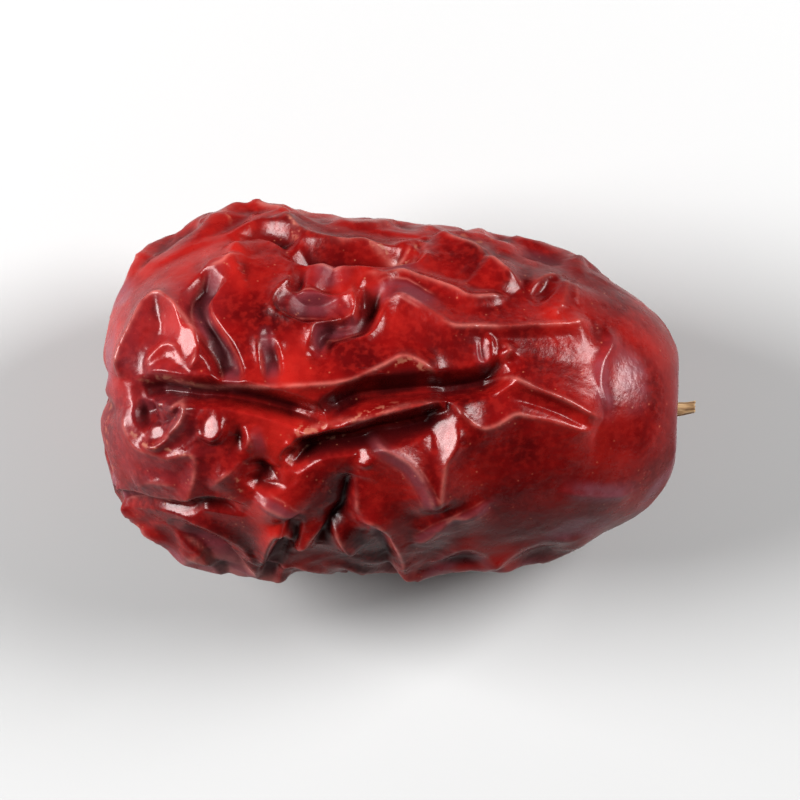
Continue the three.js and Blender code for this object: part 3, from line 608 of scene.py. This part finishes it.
def stroked(strokes, fade=0.3):
    """How strongly the strokes cover each point, and the thin line along their edges."""
    mask, rim = np.zeros((2, len(plain)))
    for half_width, route in strokes:
        points = smooth_route(seen_points(route))
        near = close_to(plain, points, half_width + fade)
        gap, _, to_end = gap_to_route(plain[near], points)
        ends = smoothstep(to_end, *STROKE_ENDS)
        cover = ends * (1 - smoothstep(gap, 0.6 * half_width, half_width + fade))
        mask[near] = np.maximum(mask[near], cover)
        edge = np.exp(-(((gap - half_width - RIM_OFFSET) / RIM_WIDTH) ** 2))
        rim[near] = np.maximum(rim[near], ends * edge)
    return mask, rim * (1 - mask)


# painted reflection in the hollows, from strokes and in the net's fields; the strokes' rims join the
# painted highlight along the crests
hollow_reflection_strokes, hollow_rim_highlight = stroked(HOLLOW_REFLECTIONS)
field_reflection = hidden * rough * smoothstep(field_gap, 0.5, 1.1) * smoothstep(chance, 0.5, 0.8)
hollow_reflection_mask = np.maximum(hollow_reflection_strokes, field_reflection)
# painted sheen along the edges and over the blossom end
sheen_mask = np.maximum(stroked(SHEEN, fade=1.0)[0], BLOSSOM_END_SHEEN_SHARE * stroked(BLOSSOM_END_SHEEN, fade=4)[0])
dry_mask = stroked(DRY)[0]
# painted shade on the stem end and the flanks near it
painted_shade_mask = stroked(SHADE_PATCHES, fade=4)[0]
# painted shade strokes deepen the painted shade of the long creases
crease_shade_mask = np.maximum(crease_shade_mask, CREASE_SHADOW_SHARE * stroked(CREASE_SHADOWS, fade=0.5)[0])
shares = 100 * hollow_reflection_mask.mean(), 100 * dry_mask.mean()
print("bloom on %.0f%% of the points, dry skin on %.0f%%" % shares)

# %% [markdown]
# ## The folded skin
# Each point moves along the plain skin's own outward direction by its height, as a Displace modifier
# would do it, and beside a deep crease also in towards the crease. A point that lies lower than the
# average of the skin round it is in a hollow, and the finish paints shade there. The average comes from
# evening out the heights along the edges of the triangles, again and again.

# %% Fold the skin
DRAWN_IN = 0.7

for vert, place in zip(ball.verts, plain):
    vert.co = place
ball.normal_update()
outward = np.array([v.normal for v in ball.verts])
height = crest - crease + net - DRAWN_IN * under
folded = plain + pinch + outward * height[:, None]
print("the skin stands %.2f to %.2f mm from the plain fruit" % (height.min(), height.max()))

# %% Find the hollows
EVENING_PASSES = 30
HOLLOW_LIMITS = 0.02, 0.3

first, second = np.array([[v.index for v in e.verts] for e in ball.edges]).T
neighbours = np.bincount(np.concatenate([first, second]))
evened = height
for _ in range(EVENING_PASSES):
    beside = np.bincount(first, evened[second]) + np.bincount(second, evened[first])
    evened = 0.5 * evened + 0.5 * beside / neighbours
# painted shade in the hollows
hollow_shade_mask = smoothstep(evened - height, *HOLLOW_LIMITS)
print("hollows on %.0f%% of the points" % (100 * (hollow_shade_mask > 0.5).mean()))

# %% [markdown]
# ## Facets
# Here and there the skin dried to a small flat facet between two folds, and such facets give the
# brightest glints. In sculpting, the Flatten brush makes them. Here a facet is a spot on the seen side,
# with half its length and half its width. The skin in it is pressed to a plane, and round it the plane
# blends into the folds.

# %% Press the facets
FACET_WAY = unit(np.array([-0.48, -0.05, 0.88]))
FACETS = [
    ((4.3, -2.6), (1.4, 1.9)), ((-14.1, -2.8), (1.1, 1.4)), ((-16.2, 3.6), (1.1, 1.8)),
    ((7.4, 4.1), (0.7, 1.3)), ((-2.0, -4.7), (0.7, 0.9)), ((-18.4, -3.4), (1.3, 0.7)),
]
FACET_CORE, FACET_EDGE = 0.5, 1.2

for spot, (half_length, half_width) in FACETS:
    gap = np.linalg.norm((plain - seen_points([spot])) / (half_length, half_width, half_width), axis=1)
    near = np.nonzero(gap < FACET_EDGE)[0]
    share = 1 - smoothstep(gap[near], FACET_CORE, FACET_EDGE)
    middle = np.average(folded[near], axis=0, weights=share)
    shift = share * ((middle - folded[near]) @ FACET_WAY) / (outward[near] @ FACET_WAY)
    folded[near] += outward[near] * shift[:, None]
    print("facet at", spot, "moves by %.2f to %.2f mm" % (shift.min(), shift.max()))

# %% [markdown]
# ## The two ends and the flat spot
# Round the stem pit runs a thin, slightly wavy line of cork. Inside it lies a cup with the socket of the
# stalk, darkened with painted shade, and outside it a mauve zone that joins the painted sheen. In the
# blossom pit a speck of cork is left of the flower. The skin runs through all of this without a seam, so
# nothing is added: the points that are there are moved a little. Underneath, a small spot is pressed
# flat, where the fruit lay while it dried.

# %% Shape the ends
RING_RADIUS, RING_RAISE, FAR_FROM_RING = 3.2, 0.12, 9
SOCKET_DEPTH, SCAR_DEPTH = 0.9, 0.25
STEM_MAUVE_SHARE = 0.6

from_axis = np.hypot(plain[:, 1], plain[:, 2])
stemward = plain[:, 0] > 0
turn = np.arctan2(plain[:, 1], plain[:, 2])
past_ring = from_axis - RING_RADIUS - 0.15 * np.sin(2 * turn) - 0.08 * np.sin(5 * turn + 1)
past_ring = np.where(stemward, past_ring, FAR_FROM_RING)
ring = np.exp(-((past_ring / 0.2) ** 2))
socket = stemward * (1 - smoothstep(from_axis, 0.7, 1.1))
scar = ~stemward * (1 - smoothstep(from_axis, 0.3, 0.7))
folded[:, 0] += RING_RAISE * ring - SOCKET_DEPTH * socket - SCAR_DEPTH * scar
# painted shade in the cup inside the ring of cork
painted_shade_mask = np.maximum(painted_shade_mask, 1 - smoothstep(past_ring, -0.8, 0))
# outside the ring, a mauve zone joins the painted sheen
stem_mauve = smoothstep(past_ring, 0, 0.4) * (1 - smoothstep(past_ring, 0.8, 3))
sheen_mask = np.maximum(sheen_mask, STEM_MAUVE_SHARE * stem_mauve)
print(int((np.abs(past_ring) < 0.2).sum()), "points on the ring of cork")

# %% Press the flat spot
FLAT_X, FLAT_HALF_LENGTH, FLAT_HALF_WIDTH, FLAT_BLEND, FLAT_CURVE = -2, 6.6, 3.9, 6, 1.25

past_length = np.abs(folded[:, 0] - FLAT_X) - FLAT_HALF_LENGTH
past_width = np.abs(folded[:, 1]) - FLAT_HALF_WIDTH
outside = np.maximum(past_length, past_width)
pressed = np.where(plain[:, 2] < 0, 1 - np.clip(outside / FLAT_BLEND, 0, 1) ** FLAT_CURVE, 0)
folded[:, 2] = np.maximum(-HEIGHT / 2, folded[:, 2] * (1 - pressed) - HEIGHT / 2 * pressed)
print("%d points lie flat" % (folded[:, 2] < -HEIGHT / 2 + 0.01).sum())

# %% [markdown]
# ## The finished mesh
# The points go to their places, and one light smoothing takes the last roughness of the cut triangles
# away. Each mask becomes an attribute of the mesh, so that the finish can read it. Masks go from 0 to 1,
# so the gap to the ring of cork is stored with the ring itself in the middle.

# %% Make the fruit
SMOOTHING = 0.3
RING_AT, RING_SPAN = 0.5, 4

for vert, place in zip(ball.verts, folded):
    vert.co = (place + PLACE) * MM
bmesh.ops.smooth_vert(
    ball, verts=ball.verts, factor=SMOOTHING, use_axis_x=True, use_axis_y=True, use_axis_z=True)
fruit_mesh = bpy.data.meshes.new("fruit_skin")
ball.to_mesh(fruit_mesh)
ball.free()
fruit_mesh.shade_smooth()
# The crest mask carries a painted highlight along the crests, and the crease mask painted shade in the
# creases.
masks = {
    "crest": np.maximum.reduce([crest_highlight_mask, net_highlight_mask, hollow_rim_highlight]), "crease": crease_shade_mask,
    "cork": scar, "past_ring": RING_AT + past_ring / RING_SPAN, "bloom": hollow_reflection_mask, "sheen": sheen_mask,
    "dry": dry_mask, "dark": painted_shade_mask, "hollow": hollow_shade_mask,
}
for name, values in masks.items():
    attribute = fruit_mesh.attributes.new(name, "FLOAT", "POINT")
    attribute.data.foreach_set("value", np.clip(values, 0, 1).astype(np.float32))
fruit = bpy.data.objects.new("fruit_skin", fruit_mesh)
bpy.context.scene.collection.objects.link(fruit)
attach(fruit, "root")
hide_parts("fruit")
print(len(fruit_mesh.polygons), "triangles on the fruit")


# %% [markdown]
# ## Shader sums in plain Python
# A finish is a small machine of nodes. Writing it as sums keeps it readable: a wire stands for a
# socket, and adding or multiplying wires adds the Math nodes. Colours go through Mix nodes instead,
# because a Math node would turn them grey.

# %% Wires and finishes
class Wire:
    def __init__(self, finish, socket):
        self.finish, self.socket = finish, socket

    def _sum(self, operation, *values):
        return self.finish.node("ShaderNodeMath", {"operation": operation}, dict(enumerate(values)))

    def __add__(self, other): return self._sum("ADD", self, other)
    def __sub__(self, other): return self._sum("SUBTRACT", self, other)
    def __mul__(self, other): return self._sum("MULTIPLY", self, other)
    def __rsub__(self, other): return self._sum("SUBTRACT", other, self)
    def __pow__(self, other): return self._sum("POWER", self, other)
    __radd__, __rmul__ = __add__, __mul__


class Finish:
    def __init__(self, name):
        self.material = bpy.data.materials.new(name)
        self.material.use_nodes = True
        self.tree = self.material.node_tree
        self.shader = self.tree.nodes["Principled BSDF"]

    def node(self, kind, settings, inputs, output=0):
        made = self.tree.nodes.new(kind)
        for key, value in settings.items():
            if key == "stops":
                colours = made.color_ramp.elements
                while len(colours) < len(value):
                    colours.new(0.5)
                for stop, (place, colour) in zip(colours, value):
                    stop.position, stop.color = place, (*colour, 1)
            else:
                setattr(made, key, value)
        for key, value in inputs.items():
            if isinstance(value, Wire):
                self.tree.links.new(value.socket, made.inputs[key])
            else:
                made.inputs[key].default_value = value
        return Wire(self, made.outputs[output])

    def mix(self, share, low, high):
        wide = [c if isinstance(c, Wire) else (*c, 1) for c in (low, high)]
        return self.node("ShaderNodeMix", {"data_type": "RGBA"}, {0: share, 6: wide[0], 7: wide[1]}, 2)

    def feed(self, **wires):
        for name, value in wires.items():
            socket = self.shader.inputs[name.replace("_", " ")]
            if isinstance(value, Wire):
                self.tree.links.new(value.socket, socket)
            else:
                socket.default_value = value


# %% [markdown]
# ## The finish of the skin
# Dried skin is deep red, with fields that are brighter than others. One colour ramp on a noise gives
# those fields, but the rest lies in known places: painted shade in creases and hollows and over the stem
# end and the flanks near it, a painted mauve reflection in the hollows and a painted sheen on the edges,
# a pale pink painted highlight along the crests that also stands for rubbed skin, tan cracks, fine
# specks, and cork at the two ends. So the colour is a stack of layers, each with a mask, a strength and
# a colour, and each laid over the ones before it. Noise breaks most masks up, so that no edge looks
# painted. The noises' scales are per metre. The skin has the gloss of waxed paper, and the reflection
# hollows, cracks and cork are duller.

# %% Noises of the skin
skin = Finish("jujube_skin")
here = skin.node("ShaderNodeTexCoord", {}, {}, "Object")
on_crest_highlight, in_crease_shade, on_scar, ring_gap, in_hollow_reflection, in_sheen, on_dry, on_painted_shade, in_hollow_shade = [
    skin.node("ShaderNodeAttribute", {"attribute_name": name}, {}, "Fac") for name in masks]


def noise(scale, detail):
    return skin.node("ShaderNodeTexNoise", {}, {"Vector": here, "Scale": scale, "Detail": detail})


def ramp(wire, low, high):
    soft = {"interpolation_type": "SMOOTHSTEP"}
    return skin.node("ShaderNodeMapRange", soft, {0: wire, 1: low, 2: high})


patches, dryness = noise(160, 3), noise(420, 5)
pores, flakes, grain = noise(900, 4), noise(1700, 3), noise(2600, 3)
speck_gap = skin.node("ShaderNodeTexVoronoi", {}, {"Vector": here, "Scale": 1300}, "Distance")
print("masks:", ", ".join(masks))

# %% Colours and masks of the skin
FIELD_REDS = [(0.3, (0.06, 0.001, 0.002)), (0.5, (0.16, 0.004, 0.004)), (0.72, (0.30, 0.015, 0.011))]
# the second red is painted shade for the stem end, the flanks near it and the stem cup
MOTTLE_RED, SHADE_RED = (0.30, 0.020, 0.014), (0.06, 0.001, 0.002)
# painted shade in the creases and in the hollows
CREASE_SHADE_BROWN, HOLLOW_SHADE_BROWN = (0.04, 0.003, 0.004), (0.035, 0.002, 0.004)
# painted reflection in the hollows, and painted sheen on the edges
REFLECTION_MAUVE, SHEEN_MAUVE = (0.15, 0.03, 0.04), (0.18, 0.06, 0.076)
# a painted highlight along the crests, partly also rubbed skin, and the tan of cracks
RUBBED_HIGHLIGHT_PINK, CRACKED_TAN = (0.5, 0.2, 0.17), (0.36, 0.19, 0.12)
SPECK_TAN, CORK_TAN = (0.5, 0.22, 0.13), (0.42, 0.27, 0.18)

# a pale pink line along the crests: painted highlight, partly also skin rubbed pale
rubbed_and_highlight = (on_crest_highlight ** 5) * (ramp(dryness, 0.4, 0.6) * 0.3 + 0.1)
cracked = (on_dry ** 2) * ramp(flakes, 0.5, 0.6)
specks = ramp(speck_gap, 0.16, 0.06) * ramp(dryness, 0.5, 0.58)
frayed_gap = ring_gap - RING_AT + (pores - 0.5) * 0.2
ring_line = ramp(frayed_gap ** 2 + (grain - 0.5) * 0.003, 0.0018, 0.0)
ring_cork = ring_line * (ramp(dryness, 0.4, 0.58) * 0.5 + 0.2)
corked = ramp(on_scar + (grain - 0.5) * 0.9, 0.35, 0.6) + ring_cork

# %% Layers of the skin
layers = [
    (ramp(flakes, 0.42, 0.66), 0.3, MOTTLE_RED),
    # painted shade on the stem end, the flanks near it and the stem cup
    (on_painted_shade, 0.45, SHADE_RED),
    # painted shade in the creases
    (in_crease_shade, 1, CREASE_SHADE_BROWN),
    # painted reflection in the hollows
    (in_hollow_reflection * ramp(dryness, 0.15, 0.55), 0.85, REFLECTION_MAUVE),
    # painted sheen on the edges
    (in_sheen * ramp(dryness, 0.2, 0.6), 0.85, SHEEN_MAUVE),
    # painted shade in the hollows
    (in_hollow_shade, 0.5, HOLLOW_SHADE_BROWN),
    # painted highlight along the crests, partly also rubbed skin
    (rubbed_and_highlight, 1, RUBBED_HIGHLIGHT_PINK),
    (cracked, 0.45, CRACKED_TAN),
    (specks, 0.3, SPECK_TAN),
    (corked, 1, CORK_TAN),
]
colour = skin.node("ShaderNodeValToRGB", {"stops": FIELD_REDS}, {"Fac": patches})
for mask, strength, tint in layers:
    colour = skin.mix(mask * strength, colour, tint)
print(len(layers), "layers over the red of the fields")

# %% Gloss and grain of the skin
SKIN_IOR = 1.35
SKIN_GRAIN = {"Strength": 0.5, "Distance": 0.0001}

gloss = pores * 0.2 + 0.19 + in_hollow_reflection * 0.2 + cracked * 0.3 + corked * 0.5
pebbles = grain * 0.5 + pores * 0.7 + dryness * 2
bumps = skin.node("ShaderNodeBump", {}, {**SKIN_GRAIN, "Height": pebbles})
skin.feed(Base_Color=colour, Roughness=gloss, IOR=SKIN_IOR, Normal=bumps)
fruit_mesh.materials.append(skin.material)
print("skin finish has", len(skin.tree.nodes), "nodes")

# %% [markdown]
# ## The stub of the stalk
# The stalk dried and broke off a few millimetres above the fruit. It is a thin, woody rod that leans
# to one side, with fibres along it and a ragged, hollow tip. A curve with a bevel would make a smooth
# rod. A cone with many rings is chosen instead, because its points can be moved to make the fibres, a
# few coarse and more fine ones, and the tip.

# %% A rod with many rings
STALK_LENGTH, STALK_TIP_RADIUS, STALK_BEND = (stub_high.x - stub_low.x) / MM, 0.5, 0.35
TIP_RIMS, TIP_RIM_WIDTH = 2, 0.12

rod = bmesh.new()
bmesh.ops.create_cone(
    rod, cap_ends=True, segments=40, radius1=STALK_RADIUS, radius2=STALK_TIP_RADIUS, depth=STALK_LENGTH)
long_edges = [e for e in rod.edges if abs(e.verts[0].co.z - e.verts[1].co.z) > 1]
bmesh.ops.subdivide_edges(rod, edges=long_edges, cuts=36, use_grid_fill=True)
tip = [f for f in rod.faces if f.calc_center_median().z > STALK_LENGTH / 2 - 0.01]
for _ in range(TIP_RIMS):
    bmesh.ops.inset_region(rod, faces=tip, thickness=TIP_RIM_WIDTH)
print(len(rod.verts), "points on the rod")

# %% Make the stub
for vert in rod.verts:
    turn = math.atan2(vert.co.y, vert.co.x)
    rise = vert.co.z + STALK_LENGTH / 2
    radius = math.hypot(vert.co.x, vert.co.y)
    past_root = max(0, rise - STALK_ROOT) / (STALK_LENGTH - STALK_ROOT)
    fibre = 0.05 * math.sin(7 * turn + 0.6 * rise) + 0.03 * math.sin(17 * turn - 0.9 * rise)
    swell = 0.06 * math.sin(2.2 * rise + 1)
    ragged = 0.22 * (math.sin(5 * turn) + math.sin(3 * turn + 1)) * max(0, past_root - 0.75)
    sunk = 0.35 * max(0, past_root - 0.99) * 100 * max(0, 1 - radius / 0.33)
    scale = 1 + fibre + swell
    x = stub_low.x / MM + rise - abs(ragged) - sunk
    y = PLACE[1] + vert.co.y * scale + STALK_BEND * past_root**2
    z = PLACE[2] + vert.co.x * scale
    vert.co = Vector((x, y, z)) * MM
bmesh.ops.recalc_face_normals(rod, faces=rod.faces)
stub_mesh = bpy.data.meshes.new("stalk_stub")
rod.to_mesh(stub_mesh)
rod.free()
stub_mesh.shade_smooth()
stub = bpy.data.objects.new("stalk_stub", stub_mesh)
bpy.context.scene.collection.objects.link(stub)
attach(stub, "root")
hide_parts("stem_stub")
print(len(stub_mesh.polygons), "faces on the stub")

# %% [markdown]
# ## The finish of the stub
# The wood is dry and dull, and its fibres are stripes of tan and brown along the stalk. A Wave texture
# would make them too regular, so a noise is stretched along the stalk instead. The same noise gives the
# furrows of the bump, so that colour and relief fall together.

# %% Stub finish
WOOD_TANS = [(0.3, (0.14, 0.08, 0.04)), (0.5, (0.38, 0.25, 0.13)), (0.7, (0.62, 0.48, 0.31))]

wood = Finish("dry_stalk")
where = wood.node("ShaderNodeTexCoord", {}, {}, "Object")
stretched = wood.node("ShaderNodeMapping", {}, {"Vector": where, "Scale": (400, 4200, 4200)})
fibres = wood.node("ShaderNodeTexNoise", {}, {"Vector": stretched, "Scale": 1, "Detail": 4})
stripes = wood.node("ShaderNodeValToRGB", {"stops": WOOD_TANS}, {"Fac": fibres})
furrows = wood.node("ShaderNodeBump", {}, {"Strength": 0.6, "Distance": 0.0001, "Height": fibres})
wood.feed(Base_Color=stripes, Roughness=fibres * 0.2 + 0.65, Normal=furrows)
stub_mesh.materials.append(wood.material)
print("stub finish has", len(wood.tree.nodes), "nodes")

# %% [markdown]
# ## Floor, light and camera
# The fruit lies on a plain, pale floor. A large soft box on each side gives the broad glints, and a
# weak strip in front keeps the near flank from going black. The camera looks down steeply, from far
# off with a long lens, so that perspective doesn't bend the outline. The view settings add some
# contrast, because the skin's reds lie close together. Places are in metres, and powers in watts.

# %% Floor
slab = bmesh.new()
bmesh.ops.create_grid(slab, x_segments=1, y_segments=1, size=3)
floor_mesh = bpy.data.meshes.new("floor")
slab.to_mesh(floor_mesh)
slab.free()
floor = bpy.data.objects.new("floor", floor_mesh)
bpy.context.scene.collection.objects.link(floor)
floor_finish = Finish("pale_floor")
floor_finish.feed(Base_Color=(0.4, 0.4, 0.4, 1), Roughness=0.9)
floor_mesh.materials.append(floor_finish.material)
print("the floor is %.0f m wide" % floor.dimensions.x)

# %% Lights
LIGHT_AIM = Vector((0, 0, 0.013))


def soft_box(name, place, size, power):
    light = bpy.data.lights.new(name, "AREA")
    light.shape, light.size, light.size_y, light.energy = "RECTANGLE", size[0], size[1], power
    lamp = bpy.data.objects.new(name, light)
    lamp.location = place
    lamp.rotation_euler = (LIGHT_AIM - Vector(place)).to_track_quat("-Z", "Y").to_euler()
    bpy.context.scene.collection.objects.link(lamp)


soft_box("left_box", place=(-0.41, 0.03, 0.27), size=(0.26, 0.22), power=4.4)
soft_box("right_box", place=(0.31, 0.14, 0.28), size=(0.19, 0.21), power=2.6)
soft_box("front_box", place=(0.30, -0.40, 0.06), size=(0.40, 0.05), power=0.1)
world = bpy.data.worlds.new("studio")
world.use_nodes = True
backdrop = world.node_tree.nodes["Background"].inputs
backdrop["Color"].default_value, backdrop["Strength"].default_value = (1, 1, 1, 1), 0.03
bpy.context.scene.world = world
view = bpy.context.scene.view_settings
view.view_transform, view.exposure, view.gamma = "Standard", 0.4, 0.8
print(len(bpy.data.lights), "lights")

# %% Camera
TILT, ROLL, DISTANCE, LENS = math.radians(82), math.radians(2.5), 0.5, 275
CAMERA_AIM = Vector((0, -0.0004, 0.013))

camera = bpy.data.cameras.new("camera")
camera.lens = LENS
eye = bpy.data.objects.new("camera", camera)
back = Vector((0, -math.cos(TILT), math.sin(TILT)))
eye.location = CAMERA_AIM + back * DISTANCE
eye.rotation_mode = "QUATERNION"
eye.rotation_quaternion = Quaternion(back, ROLL) @ back.to_track_quat("Z", "Y")
bpy.context.scene.collection.objects.link(eye)
bpy.context.scene.camera = eye
print("the camera stands at", tuple(round(c, 3) for c in eye.location))
